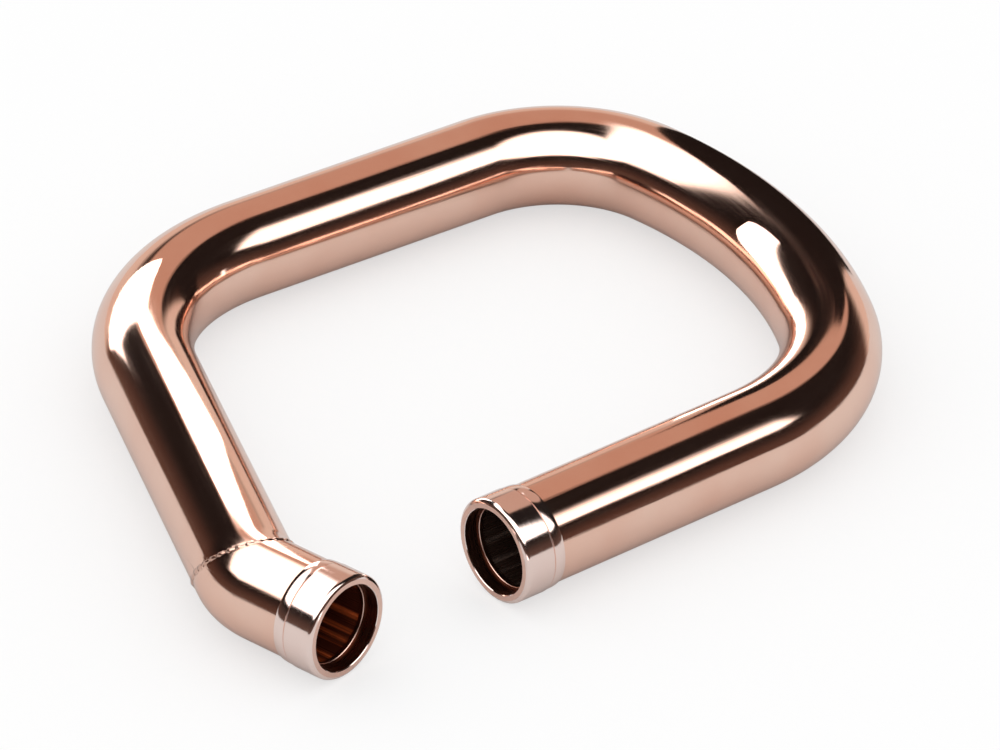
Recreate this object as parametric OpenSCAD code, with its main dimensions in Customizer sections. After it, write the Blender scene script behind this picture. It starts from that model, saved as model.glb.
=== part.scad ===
// Bent copper tube that ends in a welded elbow, with a turned collar on each mouth.
// Every centre line lies in the XY plane. The origin is the centre of the straight
// leg's mouth, and the leg runs from there along +X.

/* [Tube] */
// Outside diameter of the tube
tube_d = 22.2; // [18:0.1:26]
// Wall thickness of the tube
tube_wall = 1.65; // [1.2:0.05:2.5]
// How far the mandrel swells a tight bend, on its radius
mandrel_swell = 0.1; // [0.08:0.01:0.2]

/* [Route of the bent tube] */
// Straight leg, from the mouth to the first bend
leg_len = 70; // [50:1:140]
// Radius of the first bend at the centre line
near_bend_r = 48; // [30:1:70]
// Angle turned by the first bend
near_bend_a = 62; // [45:1:75]
// Radius of the wide sweep that follows it
sweep_r = 114; // [60:1:140]
// Angle turned by the wide sweep
sweep_a = 38; // [20:1:45]
// Radius of the third bend, which ends the sweep
far_bend_r = 32; // [28:1:60]
// Angle turned by the third bend
far_bend_a = 76; // [60:1:80]
// Straight back run, between the two ends of the part
back_len = 62; // [40:1:120]
// Radius of the bend into the short side
side_bend_r = 48; // [30:1:60]
// Angle turned by the bend into the short side
side_bend_a = 72; // [50:1:75]
// Straight short side, from its bend to the elbow's turn
side_len = 79; // [50:1:90]

/* [Elbow] */
// Radius of the elbow's tight turn at its centre line
elbow_r = 15; // [14:1:30]
// Angle turned by the elbow
elbow_a = 33; // [20:1:45]
// Straight end of the elbow, from its turn to the mouth
elbow_exit = 22; // [16:1:30]
// How far the welded joint's centre lies before the turn
joint_back = 2; // [0:0.5:6]
// Angle by which the joint's plane is skewed in plan
joint_skew = 4; // [-10:1:10]
// Angle by which the joint's plane leans, with its top towards the mouth
joint_lean = 37; // [0:1:40]

/* [Collars] */
// Depth of the socket, from the mouth to the stop ring
socket_depth = 3.5; // [2:0.5:5]
// How far the socket's wall lies outside the tube's bore
socket_step = 0.175; // [0.16:0.005:0.4]
// How far the stop ring stands in from the tube's bore
stop_height = 0.35; // [0.1:0.05:0.8]
// Length of the stop ring, between the socket and the tube's end
stop_len = 1; // [0.5:0.1:1.5]
// How far the band stands out past the tube
band_height = 0.6; // [0.5:0.05:1.5]
// Length of the band, from the mouth to the groove
band_len = 7.4; // [7:0.1:10]
// Length of the tapered skirt behind the groove
skirt_len = 2.8; // [1.5:0.1:5]
// Radius of the rounded lip at the mouth
lip_r = 1.1; // [0.3:0.1:1.2]
// Depth and half width of the turned groove
groove = 0.25; // [0.1:0.05:0.3]
// Clearance for the brazing metal round the tube
braze_gap = 0.05; // [0.02:0.01:0.1]

/* [Hidden] */
$fn = 128;
copper = "#c98567";
turned_copper = "#d9a491";
tube_r = tube_d / 2;
bore_r = tube_r - tube_wall;
// Depth in a collar at which the tube's end meets the stop ring
tube_start = socket_depth + stop_len;
// Space that the joint's cut needs on every side of the tube
reach = 2 * tube_d;
// How far a stretch reaches into the swollen bend beside it
lap = 0.4;
// How far a cut runs past the surface that it opens
over = 1;

// Straight round bar along +X, with spare length at either end
module run(r, length, before = lap, after = lap) {
    translate([-before, 0, 0])
        rotate([0, 90, 0])
            cylinder(r = r, h = before + length + after);
}

// Round bar of a wide bend that starts along +X and turns to the left
module sweep(r, radius, angle) {
    lap_a = lap / radius * 180 / PI;
    translate([0, radius, 0])
        rotate_extrude(start = -90 - lap_a, angle = angle + 2 * lap_a)
            translate([radius, 0])
                circle(r = r);
}

// Round bar of a tight bend, which the mandrel swells a little
module bend(r, radius, angle) {
    translate([0, radius, 0])
        rotate_extrude(start = -90, angle = angle)
            translate([radius, 0])
                circle(r = r + mandrel_swell);
}

// Moves what follows to the end of a straight length
module after_run(length) {
    translate([length, 0, 0])
        children();
}

// Moves what follows to the end of a bend
module after_bend(radius, angle) {
    translate([0, radius, 0])
        rotate([0, 0, angle])
            translate([0, -radius, 0])
                children();
}

// Moves what follows to the start of the elbow's turn
module at_turn() {
    after_run(leg_len)
        after_bend(near_bend_r, near_bend_a)
            after_bend(sweep_r, sweep_a)
                after_bend(far_bend_r, far_bend_a)
                    after_run(back_len)
                        after_bend(side_bend_r, side_bend_a)
                            after_run(side_len)
                                children();
}

// Moves what follows to the elbow's mouth, facing back into the elbow
module at_elbow_mouth() {
    at_turn()
        after_bend(elbow_r, elbow_a)
            after_run(elbow_exit)
                rotate([0, 0, 180])
                    children();
}

// Half space on the mouth's side of the leaning joint, or behind it
module joint_side(ahead) {
    translate([-joint_back, 0, 0])
        rotate([0, 0, joint_skew])
            rotate([0, joint_lean, 0])
                translate([ahead ? 0 : -2 * reach, -reach, -reach])
                    cube(2 * reach);
}

// Round bar of the long bent part: its outside, or its bore with spare length at the mouth
module tube_route(r, spare = 0) {
    after_run(tube_start)
        run(r, leg_len - tube_start, before = spare);
    after_run(leg_len) {
        bend(r, near_bend_r, near_bend_a);
        after_bend(near_bend_r, near_bend_a) {
            sweep(r, sweep_r, sweep_a);
            after_bend(sweep_r, sweep_a) {
                bend(r, far_bend_r, far_bend_a);
                after_bend(far_bend_r, far_bend_a) {
                    run(r, back_len);
                    after_run(back_len) {
                        bend(r, side_bend_r, side_bend_a);
                        after_bend(side_bend_r, side_bend_a)
                            run(r, side_len);
                    }
                }
            }
        }
    }
}

// Round bar of the elbow's turn and straight end, made in the same way
module turn_route(r, spare = 0) {
    bend(r, elbow_r, elbow_a);
    after_bend(elbow_r, elbow_a)
        run(r, elbow_exit - tube_start, after = spare);
}

// Tube from its end in the leg's collar to the welded joint
module bent_tube() {
    color(copper)
        difference() {
            union() {
                tube_route(tube_r);
                at_turn()
                    turn_route(tube_r);
            }
            tube_route(bore_r, spare = over);
            at_turn() {
                turn_route(bore_r, spare = over);
                joint_side(ahead = true);
            }
        }
}

// Elbow from the welded joint to its end in the elbow's collar
module end_elbow() {
    color(copper)
        at_turn()
            difference() {
                union() {
                    run(tube_r, 0, before = tube_d);
                    turn_route(tube_r);
                }
                run(bore_r, 0, before = tube_d + over);
                turn_route(bore_r, spare = over);
                joint_side(ahead = false);
            }
}

// Half section of a collar: radius across, depth from the mouth upwards
module collar_section() {
    band_r = tube_r + band_height;
    seat_r = tube_r + braze_gap;
    collar_len = band_len + skirt_len;
    difference() {
        union() {
            square([band_r - lip_r, band_len]);
            translate([0, lip_r])
                square([band_r, band_len - lip_r]);
            translate([band_r - lip_r, lip_r])
                circle(r = lip_r);
            polygon([
                [0, band_len],
                [band_r - groove, band_len],
                [seat_r + groove, collar_len],
                [0, collar_len]
            ]);
        }
        translate([band_r, band_len])
            rotate(45)
                square(groove * sqrt(2), center = true);
        translate([-over, -over])
            square([bore_r + socket_step + over, socket_depth + over]);
        translate([-over, 0])
            square([bore_r - stop_height + over, collar_len + over]);
        translate([-over, tube_start])
            square([seat_r + over, collar_len]);
    }
}

// Turned collar along +X, with its mouth at the origin
module collar() {
    color(turned_copper)
        rotate([0, 90, 0])
            rotate_extrude()
                collar_section();
}

module leg_collar() {
    collar();
}

module elbow_collar() {
    at_elbow_mouth()
        collar();
}

bent_tube();
end_elbow();
leg_collar();
elbow_collar();
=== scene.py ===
import math

import bmesh
import bpy
from mathutils import Matrix, Vector


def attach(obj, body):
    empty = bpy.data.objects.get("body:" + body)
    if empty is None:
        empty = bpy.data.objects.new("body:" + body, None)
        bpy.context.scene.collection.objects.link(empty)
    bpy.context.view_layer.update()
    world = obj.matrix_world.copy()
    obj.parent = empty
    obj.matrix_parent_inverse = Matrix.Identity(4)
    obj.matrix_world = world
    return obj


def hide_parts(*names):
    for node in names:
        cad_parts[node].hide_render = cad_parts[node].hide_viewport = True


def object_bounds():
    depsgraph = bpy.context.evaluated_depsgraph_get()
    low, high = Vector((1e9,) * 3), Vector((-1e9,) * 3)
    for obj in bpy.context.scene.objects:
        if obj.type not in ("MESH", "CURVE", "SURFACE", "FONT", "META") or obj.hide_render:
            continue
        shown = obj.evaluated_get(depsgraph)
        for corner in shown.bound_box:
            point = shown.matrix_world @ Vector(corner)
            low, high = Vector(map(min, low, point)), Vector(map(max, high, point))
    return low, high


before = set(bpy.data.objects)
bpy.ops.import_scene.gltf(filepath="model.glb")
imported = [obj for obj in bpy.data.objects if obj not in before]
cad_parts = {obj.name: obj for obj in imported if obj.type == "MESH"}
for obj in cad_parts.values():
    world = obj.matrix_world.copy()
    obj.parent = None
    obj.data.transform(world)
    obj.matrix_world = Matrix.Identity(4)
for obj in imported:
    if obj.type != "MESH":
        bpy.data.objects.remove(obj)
cad_low, cad_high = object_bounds()


# Long bent part: one length of drawn copper tube, bent cold over a mandrel in one plane
# and polished bright afterwards. Its bore is painted dark as shade, with broad dark streaks that are
# partly drawing marks and partly painted shade, and keeps the fine lines of drawing.

tube_radius = 0.0111
bore_radius = 0.00945
tube_start = 0.0045
elbow_exit = 0.022
tube_route = [
    ("run", 0.070 - tube_start),
    ("bend", 0.048, 62),
    ("bend", 0.114, 38),
    ("bend", 0.032, 76),
    ("run", 0.062),
    ("bend", 0.048, 72),
    ("run", 0.079),
]
turn_route = [("bend", 0.015, 33), ("run", elbow_exit - tube_start)]
joint_back = 0.002
joint_skew = 4
joint_lean = 37
joint_rounding = 0.0009
smooth_angle = 40


def advance(place, step, share=1.0):
    """Moves a place along a straight run, or round a bend, of the route."""
    if step[0] == "run":
        return place @ Matrix.Translation((step[1] * share, 0, 0))
    centre = Matrix.Translation((0, step[1], 0))
    turn = Matrix.Rotation(math.radians(step[2]) * share, 4, "Z")
    return place @ centre @ turn @ centre.inverted()


def stretch_ring(mesh, ring, move, fill, along):
    """Draws the tube's open end on by one short stretch, and returns the new end."""
    grown = bmesh.ops.extrude_edge_only(mesh, edges=ring)["geom"]
    verts = [v for v in grown if isinstance(v, bmesh.types.BMVert)]
    fresh = set(verts)
    for vert in verts:
        old = next(e.other_vert(vert) for e in vert.link_edges if e.other_vert(vert) not in fresh)
        vert[fill] = Vector((old[fill].x, old[fill].y, along))
    bmesh.ops.transform(mesh, matrix=move, verts=verts)
    edges = [e for e in grown if isinstance(e, bmesh.types.BMEdge)]
    return [e for e in edges if all(v in fresh for v in e.verts)]


def lay_tube(mesh, radius, place, route):
    """Draws a round surface along the route. The layer "run" keeps the place round and along it."""
    sides = 112
    run_stretch = 0.008
    bend_stretch = 1.5
    fill = mesh.verts.layers.float_vector.get("run") or mesh.verts.layers.float_vector.new("run")
    verts = bmesh.ops.create_circle(mesh, segments=sides, radius=radius)["verts"]
    for vert in verts:
        vert[fill] = vert.co.copy()
    ring = list(dict.fromkeys(e for v in verts for e in v.link_edges))
    bmesh.ops.transform(mesh, matrix=place @ Matrix.Rotation(math.pi / 2, 4, "Y"), verts=verts)
    along = 0.0
    for step in route:
        if step[0] == "run":
            count = max(1, round(step[1] / run_stretch))
            length = step[1] / count
        else:
            count = max(2, round(step[2] / bend_stretch))
            length = step[1] * math.radians(step[2]) / count
        for _ in range(count):
            along += length
            following = advance(place, step, 1 / count)
            ring = stretch_ring(mesh, ring, following @ place.inverted(), fill, along)
            place = following


def lay_walls(place, route):
    """Draws the outer wall and the bore, whose faces are marked in the layer "bore"."""
    mesh = bmesh.new()
    lay_tube(mesh, tube_radius, place, route)
    outer_count = len(mesh.faces)
    lay_tube(mesh, bore_radius, place, route)
    bore = mesh.faces.layers.int.new("bore")
    for face in list(mesh.faces)[outer_count:]:
        face[bore] = 1
    return mesh, bore


def close_ends(mesh):
    """Fills the wall's thickness at each end, between the outer rim and the bore's rim."""
    mesh.edges.index_update()
    edges = [e for e in mesh.edges if e.is_boundary]
    rims = []
    while edges:
        rim, front = set(), {edges[0]}
        while front:
            rim |= front
            front = {n for e in front for v in e.verts for n in v.link_edges if n.is_boundary} - rim
        edges = [e for e in edges if e not in rim]
        rim = sorted(rim, key=lambda e: e.index)
        rims.append((sum((e.verts[0].co for e in rim), Vector()) / len(rim), rim))
    while rims:
        middle, rim = rims.pop()
        other = min(range(len(rims)), key=lambda i: (rims[i][0] - middle).length)
        bmesh.ops.triangle_fill(mesh, edges=rim + rims.pop(other)[1], use_beauty=True)
    bmesh.ops.recalc_face_normals(mesh, faces=mesh.faces)


turn_place = Matrix.Identity(4)
for step in [("run", tube_start)] + tube_route:
    turn_place = advance(turn_place, step)
joint_place = (
    turn_place
    @ Matrix.Translation((-joint_back, 0, 0))
    @ Matrix.Rotation(math.radians(joint_skew), 4, "Z")
    @ Matrix.Rotation(math.radians(joint_lean), 4, "Y")
)
joint_point = joint_place.translation
joint_axis = (joint_place.to_3x3() @ Vector((1, 0, 0))).normalized()

axis_points = []
axis_place = Matrix.Translation((tube_start, 0, 0))
points_a_step = 40
for step in tube_route + turn_route:
    for _ in range(points_a_step):
        axis_points.append(axis_place.translation.copy())
        axis_place = advance(axis_place, step, 1 / points_a_step)


def nearest_axis(point):
    """Finds the point of the tube's centre line that lies nearest."""
    return min(axis_points, key=lambda p: (p - point).length_squared)


def on_outer_wall(edge):
    middle_radius = 0.5 * (tube_radius + bore_radius)
    return all((v.co - nearest_axis(v.co)).length > middle_radius for v in edge.verts)


def near_joint(mesh):
    """Lists what lies round the joint, so that its cut leaves the straight leg alone."""
    reach = 0.04
    verts = [v for v in mesh.verts if (v.co - joint_point).length < reach]
    found = set(verts)
    edges = [e for e in mesh.edges if all(v in found for v in e.verts)]
    faces = [f for f in mesh.faces if all(v in found for v in f.verts)]
    return verts + edges + faces


def round_joint(mesh):
    """Rounds the outer edge of the joint's cut."""
    on_cut = 1e-6
    rim = [
        e
        for e in mesh.edges
        if len(e.link_faces) == 2
        and all(abs((v.co - joint_point).dot(joint_axis)) < on_cut for v in e.verts)
        and on_outer_wall(e)
    ]
    bmesh.ops.bevel(
        mesh, geom=rim, offset=joint_rounding, segments=3, profile=0.5, affect="EDGES", material=-1
    )


def keep_sharp(data, angle):
    """Keeps the edges crisp that turn by more than the angle."""
    limit = math.radians(angle)
    mesh = bmesh.new()
    mesh.from_mesh(data)
    for edge in mesh.edges:
        edge.smooth = not (edge.is_manifold and edge.calc_face_angle() > limit)
    mesh.to_mesh(data)
    mesh.free()


def finish_piece(name, mesh, materials, node, part=None):
    """Makes the piece's object. The layer in part numbers each face's material."""
    data = bpy.data.meshes.new(name)
    for material in materials:
        data.materials.append(material)
    for face in mesh.faces:
        face.smooth = True
        if part:
            face.material_index = face[part]
    mesh.to_mesh(data)
    mesh.free()
    piece = bpy.data.objects.new(name, data)
    bpy.context.scene.collection.objects.link(piece)
    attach(piece, "root")
    if node:
        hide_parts(node)
    return piece


def add_node(tree, kind, inputs, **settings):
    """Adds a shader node. An input is a plain value, or the output that it is linked to."""
    node = tree.nodes.new(kind)
    for name, value in settings.items():
        setattr(node, name, value)
    for name, value in inputs.items():
        if isinstance(value, bpy.types.NodeSocket):
            tree.links.new(value, node.inputs[name])
        else:
            node.inputs[name].default_value = value
    return node


def work_out(tree, kind, *values, clamp=False):
    """Does one sum on plain values or on other nodes' outputs."""
    node = add_node(tree, "ShaderNodeMath", dict(enumerate(values)), operation=kind, use_clamp=clamp)
    return node.outputs[0]


def soft_step(tree, value, low, high):
    """Rises softly from 0 at low to 1 at high."""
    limits = {"Value": value, "From Min": low, "From Max": high}
    node = add_node(tree, "ShaderNodeMapRange", limits, interpolation_type="SMOOTHSTEP")
    return node.outputs["Result"]


def mix_colours(tree, factor, first, second):
    node = add_node(tree, "ShaderNodeMix", {}, data_type="RGBA")
    for name, value in (("Factor", factor), ("A", first), ("B", second)):
        if isinstance(value, bpy.types.NodeSocket):
            tree.links.new(value, node.inputs[name])
        else:
            node.inputs[name].default_value = (*value, 1)
    return node.outputs["Result"]


# Drawing lines, broad streaks, fine grit and an uneven tone, shared by all the copper. In the bores the
# second tone is dark painted shade, and the broad streaks are partly drawing marks and partly painted
# shade.
grain = bpy.data.node_groups.new("drawn_grain", "ShaderNodeTree")
for side, kind, name in (
    ("INPUT", "NodeSocketFloat", "Roughness"),
    ("INPUT", "NodeSocketFloat", "Spread"),
    ("INPUT", "NodeSocketFloat", "Streaks"),
    ("INPUT", "NodeSocketColor", "Bright"),
    ("INPUT", "NodeSocketColor", "Wear_and_shade"),
    ("OUTPUT", "NodeSocketColor", "Colour"),
    ("OUTPUT", "NodeSocketFloat", "Roughness"),
    ("OUTPUT", "NodeSocketFloat", "Height"),
):
    grain.interface.new_socket(name, in_out=side, socket_type=kind)
asked = grain.nodes.new("NodeGroupInput").outputs
given = grain.nodes.new("NodeGroupOutput").inputs
run = add_node(grain, "ShaderNodeAttribute", {}, attribute_name="run").outputs["Vector"]
spot = grain.nodes.new("ShaderNodeTexCoord").outputs["Object"]


def grain_noise(place, **inputs):
    return add_node(grain, "ShaderNodeTexNoise", {"Vector": place, **inputs}).outputs["Fac"]


def stretched(scale):
    """Squeezes the pattern round the tube and along it."""
    return add_node(grain, "ShaderNodeMapping", {"Vector": run, "Scale": scale}).outputs["Vector"]


lines = grain_noise(stretched((2600, 2600, 40)), Scale=1, Detail=3)
streaks = grain_noise(stretched((230, 230, 5)), Scale=1, Detail=4, Roughness=0.55)
cloud = grain_noise(spot, Scale=55, Detail=4)
grit = grain_noise(spot, Scale=3800, Detail=2)
grit_share = 0.4
patches = add_node(grain, "ShaderNodeMapRange", {"Value": cloud, "From Min": 0.35, "From Max": 0.75})
# dark streaks: used only in the bores, where they are partly drawing marks and partly painted shade
dark_streaks = work_out(grain, "MULTIPLY", soft_step(grain, streaks, 0.60, 0.46), asked["Streaks"])
wear_and_shade_part = work_out(grain, "MAXIMUM", patches.outputs["Result"], dark_streaks)
grain.links.new(mix_colours(grain, wear_and_shade_part, asked["Bright"], asked["Wear_and_shade"]), given["Colour"])
swing = work_out(grain, "SUBTRACT", lines, 0.5)
rough = work_out(grain, "MULTIPLY_ADD", swing, asked["Spread"], asked["Roughness"], clamp=True)
grain.links.new(rough, given["Roughness"])
grain.links.new(work_out(grain, "MULTIPLY_ADD", grit, grit_share, lines), given["Height"])


def bright_metal(name, bright, wear_and_shade, roughness, spread, bump, streaks=0.0, metal=1.0):
    """Makes a copper that varies between a bright colour and a second, worn colour; in the bores that
    second colour is painted shade.
    """
    material = bpy.data.materials.new(name)
    material.use_nodes = True
    tree = material.node_tree
    wanted = {"Roughness": roughness, "Spread": spread, "Streaks": streaks}
    wanted |= {"Bright": (*bright, 1), "Wear_and_shade": (*wear_and_shade, 1)}
    effect = add_node(tree, "ShaderNodeGroup", wanted, node_tree=grain)
    relief = {"Strength": bump, "Distance": 0.00002, "Height": effect.outputs["Height"]}
    shader = tree.nodes["Principled BSDF"]
    shader.inputs["Metallic"].default_value = metal
    shader.inputs["Specular IOR Level"].default_value = 0.2
    tree.links.new(effect.outputs["Colour"], shader.inputs["Base Color"])
    tree.links.new(effect.outputs["Roughness"], shader.inputs["Roughness"])
    tree.links.new(add_node(tree, "ShaderNodeBump", relief).outputs["Normal"], shader.inputs["Normal"])
    return material


polished_copper = bright_metal(
    "polished_copper", (0.94, 0.65, 0.53), (0.90, 0.57, 0.45), roughness=0.10, spread=0.14, bump=0.40
)
# bore copper: darker than the outside and near-black in its second tone, painted shade inside the bore
bore_copper = bright_metal(
    "bore_copper", (0.62, 0.44, 0.36), (0.10, 0.055, 0.04), 0.28, 0.30, 0.8, streaks=1.0, metal=0.8
)

mesh, bore = lay_walls(Matrix.Translation((tube_start, 0, 0)), tube_route + turn_route)
bmesh.ops.bisect_plane(
    mesh, geom=near_joint(mesh), plane_co=joint_point, plane_no=joint_axis, clear_outer=True
)
close_ends(mesh)
round_joint(mesh)
bent_tube = finish_piece(
    "bent_tube_polished", mesh, [polished_copper, bore_copper], "bent_tube", bore
)
keep_sharp(bent_tube.data, smooth_angle)


# Elbow: a tight turn pressed from the same copper, cut on a slant where it meets the short
# side. Its bore is painted a deeper orange than the long tube's, a painted glow of light bouncing inside
# it, and its near-black second tone is painted shade.

# elbow bore: a painted orange glow of light bouncing inside, with near-black painted shade in its
# streaks and patches
elbow_bore_copper = bright_metal(
    "elbow_bore_copper", (1.0, 0.20, 0.05), (0.06, 0.012, 0.006), 0.30, 0.30, 0.8, streaks=1.0, metal=0.3
)
spare = 0.022
elbow_start = turn_place @ Matrix.Translation((-spare, 0, 0))
mesh, bore = lay_walls(elbow_start, [("run", spare)] + turn_route)
cut = bmesh.ops.bisect_plane(
    mesh,
    geom=mesh.verts[:] + mesh.edges[:] + mesh.faces[:],
    plane_co=joint_point,
    plane_no=joint_axis,
    clear_inner=True,
)["geom_cut"]
outer_cut = [e for e in cut if isinstance(e, bmesh.types.BMEdge) and on_outer_wall(e)]
seam = [outer_cut[0].verts[0]]
while True:
    beside = [v for e in seam[-1].link_edges if e in outer_cut for v in e.verts if v not in seam]
    if not beside:
        break
    seam.append(beside[0])
seam = [v.co.copy() for v in seam]
close_ends(mesh)
round_joint(mesh)
end_elbow = finish_piece(
    "end_elbow_polished", mesh, [polished_copper, elbow_bore_copper], "end_elbow", bore
)
keep_sharp(end_elbow.data, smooth_angle)


# Weld bead: filler metal laid round the slanted joint in small overlapping drops. It lies in
# the groove between the two rounded edges.

weld_copper = bright_metal("weld_copper", (0.92, 0.66, 0.56), (0.62, 0.36, 0.27), 0.16, 0.25, 1.0)
bead_radius = 0.0006
bead_sink = 0.00035
drop_swing = 0.28
drop_wave = 1.9
slow_wave = 0.63
bead = bpy.data.curves.new("weld_line", "CURVE")
bead.dimensions = "3D"
bead.bevel_depth = bead_radius
bead.bevel_resolution = 3
path = bead.splines.new("POLY")
path.points.add(len(seam) - 1)
path.use_cyclic_u = True
for i, place in enumerate(seam):
    place = place + (nearest_axis(place) - place).normalized() * bead_sink
    path.points[i].co = (*place, 1)
    path.points[i].radius = 1 + drop_swing * math.sin(i * drop_wave) * math.sin(i * slow_wave)
holder = bpy.data.objects.new("weld_line", bead)
mesh = bmesh.new()
mesh.from_mesh(holder.to_mesh())
bmesh.ops.recalc_face_normals(mesh, faces=mesh.faces)
fill = mesh.verts.layers.float_vector.new("run")
for vert in mesh.verts:
    vert[fill] = vert.co
finish_piece("weld_bead", mesh, [weld_copper], None)


# Collars: turned copper rings with a rounded lip, a plain band, a fine groove and a short
# skirt, brazed over the tube's two ends. A stop ring inside sets the depth of the socket.

turned_copper = bright_metal("turned_copper", (0.96, 0.80, 0.74), (0.93, 0.72, 0.65), 0.11, 0.12, 0.4)
faced_copper = bright_metal("faced_copper", (0.90, 0.62, 0.52), (0.84, 0.52, 0.42), 0.30, 0.15, 0.5)
# socket wall: painted dark as shade inside the socket, leaving only the stop ring's chamfer in the end
# face's colour
shaded_socket_copper = bright_metal("shaded_socket_copper", (0.26, 0.12, 0.08), (0.14, 0.06, 0.04), 0.30, 0.30, 0.8)
turned, faced, socketed = 0, 1, 2
turned_sides = 144
crisp_angle = 20
band_radius = 0.0117
lip_radius = 0.0011
lip_start = 22
lip_steps = 8
socket_radius = 0.009625
socket_depth = 0.0035
broken_edge = 0.00014
face_gap = 0.00016
stop_radius = 0.0091
stop_chamfer = 0.00012
seat_radius = 0.01112
collar_length = 0.0102
groove = [(0.00712, 0), (0.00722, 0.00006), (0.00732, 0.00044), (0.00752, 0.00044)]
skirt = [(0.00762, 0.01148), (0.0082, 0.01156), (0.0092, 0.01154), (0.0099, 0.01146), (0.01014, 0.01137)]
skirt_end = 0.01126
hair = 0.00001

lip = []
for i in range(lip_steps + 1):
    angle = math.radians(lip_start + (90 - lip_start) * i / lip_steps)
    lip.append((lip_radius * (1 - math.cos(angle)), band_radius - lip_radius * (1 - math.sin(angle))))
collar_profile = [
    (broken_edge, socket_radius),
    (0.0, socket_radius + broken_edge),
    (0.0, lip[0][1] - face_gap),
    *lip,
    *((depth, band_radius - step_in) for depth, step_in in groove),
    *skirt,
    (collar_length, skirt_end),
    (collar_length, seat_radius),
    (tube_start, seat_radius),
    (tube_start, stop_radius),
    (socket_depth + stop_chamfer, stop_radius),
    (socket_depth, stop_radius + stop_chamfer),
    (socket_depth, socket_radius),
]


def turn_collar(name, place, node):
    mesh = bmesh.new()
    verts = [mesh.verts.new((depth, 0, radius)) for depth, radius in collar_profile]
    edges = [mesh.edges.new((a, b)) for a, b in zip(verts, verts[1:] + verts[:1])]
    bmesh.ops.spin(
        mesh,
        geom=verts + edges,
        cent=(0, 0, 0),
        axis=(1, 0, 0),
        angle=2 * math.pi,
        steps=turned_sides,
        use_merge=True,
    )
    bmesh.ops.remove_doubles(mesh, verts=mesh.verts, dist=1e-7)
    bmesh.ops.recalc_face_normals(mesh, faces=mesh.faces)
    part = mesh.faces.layers.int.new("part")
    fill = mesh.verts.layers.float_vector.new("run")
    for face in mesh.faces:
        middle = face.calc_center_median()
        radius = math.hypot(middle.y, middle.z)
        on_chamfer = socket_depth < middle.x < socket_depth + stop_chamfer
        if on_chamfer and radius < stop_radius + stop_chamfer:
            face[part] = faced
        elif radius < socket_radius + hair:
            face[part] = socketed
        elif middle.x < hair:
            face[part] = faced
    for vert in mesh.verts:
        vert[fill] = Vector((vert.co.x, math.hypot(vert.co.y, vert.co.z), 0.0))
    bmesh.ops.transform(mesh, matrix=place, verts=mesh.verts)
    piece = finish_piece(
        name, mesh, [turned_copper, faced_copper, shaded_socket_copper], node, part
    )
    keep_sharp(piece.data, crisp_angle)


turn_collar("leg_collar_turned", Matrix.Identity(4), "leg_collar")
mouth_place = advance(advance(turn_place, turn_route[0]), ("run", elbow_exit))
turn_collar("elbow_collar_turned", mouth_place @ Matrix.Rotation(math.pi, 4, "Z"), "elbow_collar")


# Table: a plain white table top under the part, matt, with the part's soft shadow on it. The
# camera sees it whiter than it is lit, and the metal mirrors it a little darker.

white_share = 0.62
dark_share = 0.25
bpy.ops.mesh.primitive_plane_add(size=6, location=(0.04, 0.05, cad_low[2]))
floor = bpy.context.object
floor.name = "floor"
white = bpy.data.materials.new("white_table")
white.use_nodes = True
table = white.node_tree
paint = table.nodes["Principled BSDF"]
paint.inputs["Base Color"].default_value = (0.93, 0.93, 0.93, 1)
paint.inputs["Roughness"].default_value = 0.9
paint.inputs["Specular IOR Level"].default_value = 0.0
seen = table.nodes.new("ShaderNodeLightPath").outputs
glow = add_node(table, "ShaderNodeEmission", {"Color": (1, 1, 1, 1)}).outputs["Emission"]
dim = add_node(table, "ShaderNodeEmission", {"Strength": 0.0}).outputs["Emission"]
whiter = work_out(table, "MULTIPLY", seen["Is Camera Ray"], white_share)
darker = work_out(table, "MULTIPLY", seen["Is Glossy Ray"], dark_share)
lit = add_node(table, "ShaderNodeMixShader", {"Fac": whiter, 1: paint.outputs["BSDF"], 2: glow})
toned = add_node(table, "ShaderNodeMixShader", {"Fac": darker, 1: lit.outputs["Shader"], 2: dim})
table.links.new(toned.outputs["Shader"], table.nodes["Material Output"].inputs["Surface"])
floor.data.materials.append(white)


# Tent: even white light all round for the table. The metal mirrors a dark tent instead, with
# one broad light over the front and a warm glow behind.

view_yaw = math.radians(-128.52)
right = Vector((-math.sin(view_yaw), math.cos(view_yaw), 0))
nearer = Vector((math.cos(view_yaw), math.sin(view_yaw), 0))
scene = bpy.context.scene
scene.view_settings.view_transform = "Standard"
scene.world = bpy.data.worlds.new("white_tent")
scene.world.use_nodes = True
tent = scene.world.node_tree
tent.nodes.clear()
sky = tent.nodes.new("ShaderNodeTexCoord").outputs["Generated"]


def facing(direction):
    node = add_node(tent, "ShaderNodeVectorMath", {0: sky, 1: direction}, operation="DOT_PRODUCT")
    return node.outputs["Value"]


def both(first, second):
    return work_out(tent, "MULTIPLY", first, second)


# places in the tent are given to the right and towards the front, as on a map seen from above
height = facing((0, 0, 1))
lift = work_out(tent, "MAXIMUM", work_out(tent, "ADD", height, 1.0), 0.05)
side = work_out(tent, "DIVIDE", facing(right), lift)
front = work_out(tent, "DIVIDE", facing(nearer), lift)
outward = work_out(tent, "SQRT", work_out(tent, "ADD", both(side, side), both(front, front)))


def slant(by_side, by_front, offset):
    """Measures how far a place lies past a slanted line on the map."""
    total = work_out(tent, "ADD", both(side, by_side), both(front, by_front))
    return work_out(tent, "ADD", total, offset)


# broad light over the front, reaching back on the left
dome = soft_step(tent, outward, 0.60, 0.56)
left_edge = soft_step(tent, slant(0.772, 1.0, 0.5425), 0.0, 0.05)
ahead = soft_step(tent, front, -0.03, 0.06)
back_left = both(
    soft_step(tent, slant(2.406, 1.0, 0.48), 0.05, -0.05), soft_step(tent, side, -0.03, -0.09)
)
broad = both(both(dome, left_edge), work_out(tent, "MAXIMUM", ahead, back_left))
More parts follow.
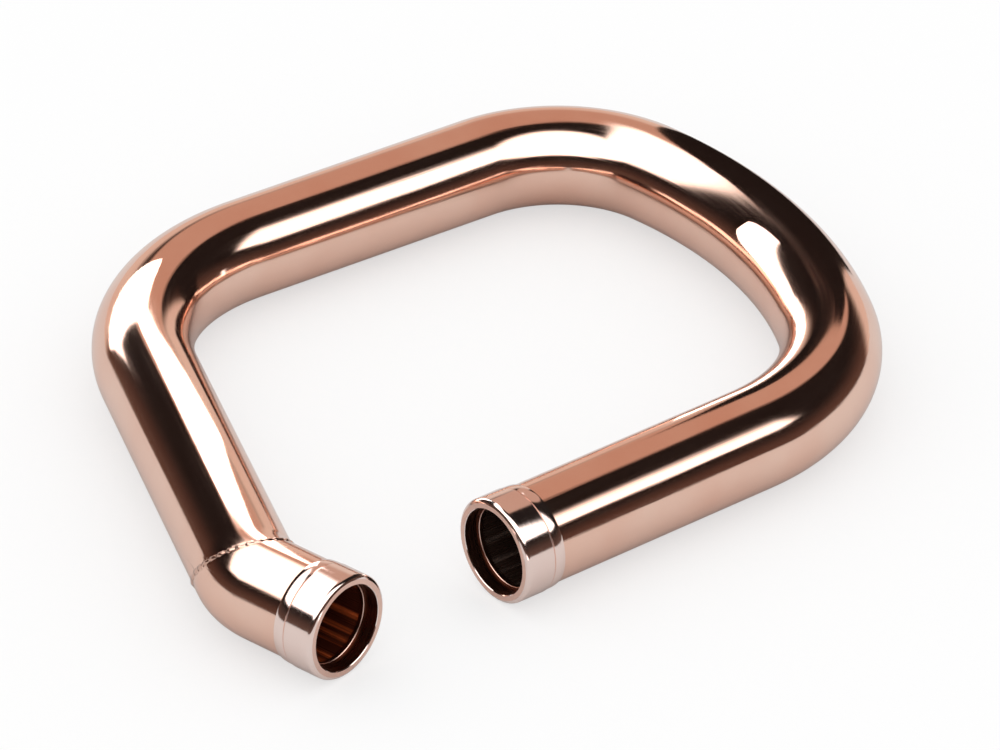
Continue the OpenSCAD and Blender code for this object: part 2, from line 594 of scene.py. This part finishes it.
# warm glow behind: a round patch above, and pale low down
across = work_out(tent, "DIVIDE", slant(1.0, 0.0, -0.06), 0.20)
along = work_out(tent, "DIVIDE", slant(0.0, 1.0, 0.50), 0.30)
behind = soft_step(tent, work_out(tent, "ADD", both(across, across), both(along, along)), 1.15, 0.85)
low_glow = both(soft_step(tent, front, -0.60, -0.74), soft_step(tent, height, 0.36, 0.20))
haze = soft_step(tent, outward, 0.60, 0.95)

dark_tone = (0.012, 0.008, 0.007)
mirrored = mix_colours(tent, haze, dark_tone, (0.10, 0.055, 0.042))
mirrored = mix_colours(tent, behind, mirrored, (0.58, 0.37, 0.29))
mirrored = mix_colours(tent, low_glow, mirrored, (0.75, 0.60, 0.52))
mirrored = mix_colours(tent, broad, mirrored, (2.3, 2.25, 2.2))
ray = tent.nodes.new("ShaderNodeLightPath").outputs
shown = mix_colours(tent, ray["Is Glossy Ray"], (1.06, 1.06, 1.06), mirrored)
shown = mix_colours(tent, ray["Is Camera Ray"], shown, (1.0, 1.0, 1.0))
backdrop = add_node(tent, "ShaderNodeBackground", {"Color": shown}).outputs["Background"]
add_node(tent, "ShaderNodeOutputWorld", {"Surface": backdrop})


# Soft boxes that only the metal mirrors: two beside the short side, one by the near bend and
# a small one before the elbow's mouth. Their places are to the right, nearer and upwards.

target = Vector((0.04443, 0.05353, 0.0))


def studio_place(to_right, to_front, up):
    return target + right * to_right + nearer * to_front + Vector((0, 0, up))


for name, middle, width, tall, shines, strength in (
    ("short_side_light", (-0.0594, -0.0333, 0.0566), 0.0478, 0.0622, nearer, 2.3),
    ("side_bend_light", (-0.0977, -0.0333, 0.0216), 0.0488, 0.0166, nearer, 2.3),
    ("near_bend_light", (0.0416, -0.0488, 0.0133), 0.0256, 0.0122, nearer, 2.3),
    ("mouth_light", (0.0143, 0.1371, 0.0040), 0.0280, 0.0080, -nearer, 1.5),
):
    lamp = bpy.data.lights.new(name, "AREA")
    lamp.shape = "RECTANGLE"
    lamp.size = width
    lamp.size_y = tall
    # watts that make the box as bright as its strength says
    lamp.energy = 4 * width * tall * strength
    light = bpy.data.objects.new(name, lamp)
    light.location = studio_place(*middle)
    light.rotation_euler = shines.to_track_quat("-Z", "Y").to_euler()
    light.visible_camera = False
    light.visible_diffuse = False
    scene.collection.objects.link(light)


# Dark backdrop: a black board that stands on the table behind the near bend. It is out of
# the camera's sight, and keeps the outside of that bend dark.

board_front = -0.1443
board_top = 0.1021
board_corners = [(0.0488, cad_low[2]), (0.1199, cad_low[2]), (0.1199, board_top), (0.0266, board_top)]
mesh = bmesh.new()
mesh.faces.new([mesh.verts.new(studio_place(u, board_front, z)) for u, z in board_corners])
board_data = bpy.data.meshes.new("dark_backdrop")
mesh.to_mesh(board_data)
mesh.free()
black = bpy.data.materials.new("dark_backdrop")
black.use_nodes = True
cloth = black.node_tree
cloth.nodes.clear()
tone = add_node(cloth, "ShaderNodeEmission", {"Color": (*dark_tone, 1)}).outputs["Emission"]
add_node(cloth, "ShaderNodeOutputMaterial", {"Surface": tone})
board_data.materials.append(black)
dark_backdrop = bpy.data.objects.new("dark_backdrop", board_data)
scene.collection.objects.link(dark_backdrop)
dark_backdrop.visible_camera = False
dark_backdrop.visible_diffuse = False
dark_backdrop.visible_shadow = False


# Camera: a long lens from the photograph's direction, 32 degrees above the table, aimed at
# the middle of the part.

elevation = math.radians(32)
distance = 1.85
away = nearer * math.cos(elevation) + Vector((0, 0, math.sin(elevation)))
camera_data = bpy.data.cameras.new("camera")
camera_data.sensor_width = 36
camera_data.lens = 309.9354
camera_data.clip_end = 20
camera = bpy.data.objects.new("camera", camera_data)
scene.collection.objects.link(camera)
camera.location = target + away * distance
camera.rotation_euler = (-away).to_track_quat("-Z", "Y").to_euler()
scene.camera = camera
